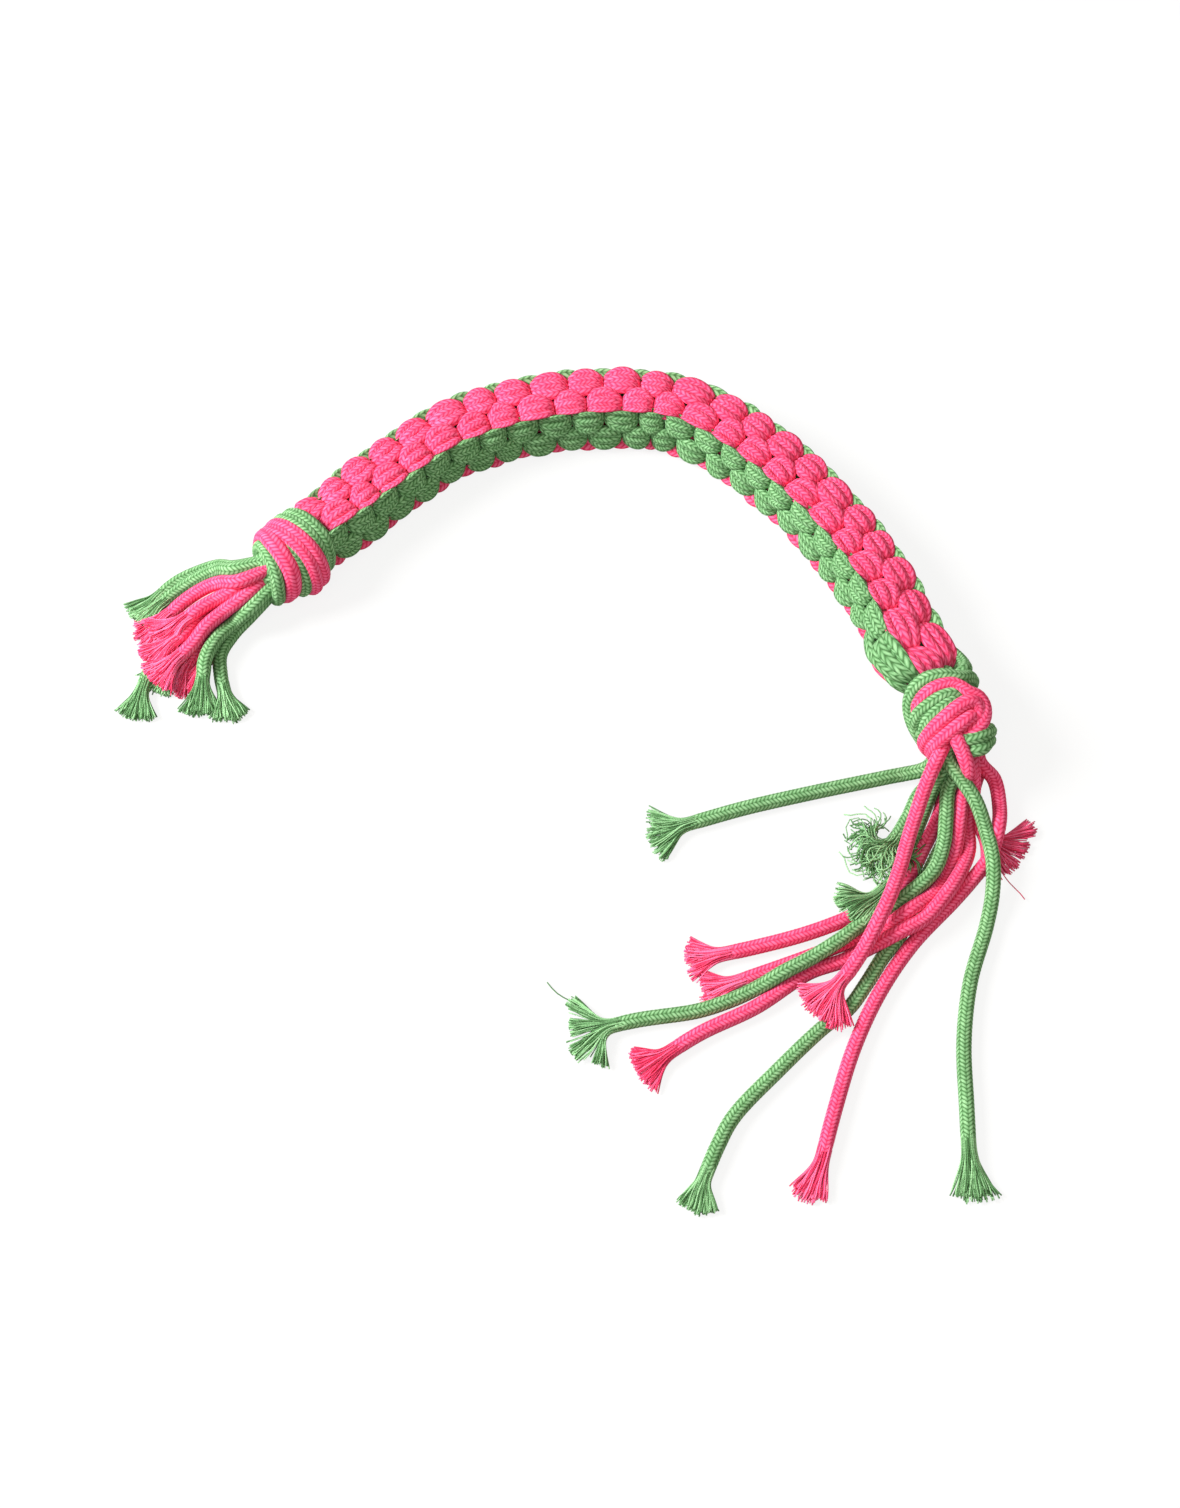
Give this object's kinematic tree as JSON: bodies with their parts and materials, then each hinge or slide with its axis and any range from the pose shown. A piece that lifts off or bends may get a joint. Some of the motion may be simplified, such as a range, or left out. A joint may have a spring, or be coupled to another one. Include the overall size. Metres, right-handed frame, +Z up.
{
  "type": "rope tug toy",
  "caption": "Braided cotton rope tug toy for a dog: a square box-stitch bar bent in an arch, with a wrapped knot and long frayed cord tails at each end.",
  "frame": {"origin": "middle of the footprint of the toy as it lies, at the level of the floor", "axes": "+Z up from the floor, +X from the knot with short tails towards the knot with long tails, +Y towards the crown of the arch"},
  "size_m": [0.3217, 0.3188, 0.0316],
  "materials": {
    "pink_cord": "bright pink braided cotton cord, matt, with a fine herringbone",
    "green_cord": "soft green braided cotton cord, matt, with a fine herringbone"
  },
  "bodies": {
    "root": {"sinnet_bundle_pink_back": "pink_cord", "sinnet_bundle_pink_front": "pink_cord", "sinnet_bundle_green_lower": "green_cord", "sinnet_bundle_green_upper": "green_cord", "left_knot_heart": "green_cord", "left_knot_wrap_1_green": "green_cord", "left_knot_wrap_2_pink": "pink_cord", "left_knot_wrap_3_green": "green_cord", "left_tail_green_1": "green_cord", "left_tail_green_2": "green_cord", "left_tail_green_3": "green_cord", "left_tail_green_4": "green_cord", "left_tail_green_5": "green_cord", "left_tail_green_6": "green_cord", "left_tail_pink_1": "pink_cord", "left_tail_pink_2": "pink_cord", "left_tail_pink_3": "pink_cord", "left_tail_pink_4": "pink_cord", "left_tail_pink_5": "pink_cord", "left_tail_pink_6": "pink_cord", "right_knot_heart": "green_cord", "right_knot_wrap_1_green": "green_cord", "right_knot_wrap_2_pink": "pink_cord", "right_knot_wrap_3_green": "green_cord", "right_knot_wrap_4_pink": "pink_cord", "right_tail_green_1": "green_cord", "right_tail_green_2": "green_cord", "right_tail_green_3": "green_cord", "right_tail_green_4": "green_cord", "right_tail_green_5": "green_cord", "right_tail_green_6": "green_cord", "right_tail_pink_1": "pink_cord", "right_tail_pink_2": "pink_cord", "right_tail_pink_3": "pink_cord", "right_tail_pink_4": "pink_cord", "right_tail_pink_5": "pink_cord", "right_tail_pink_6": "pink_cord"}
  },
  "joints": []
}
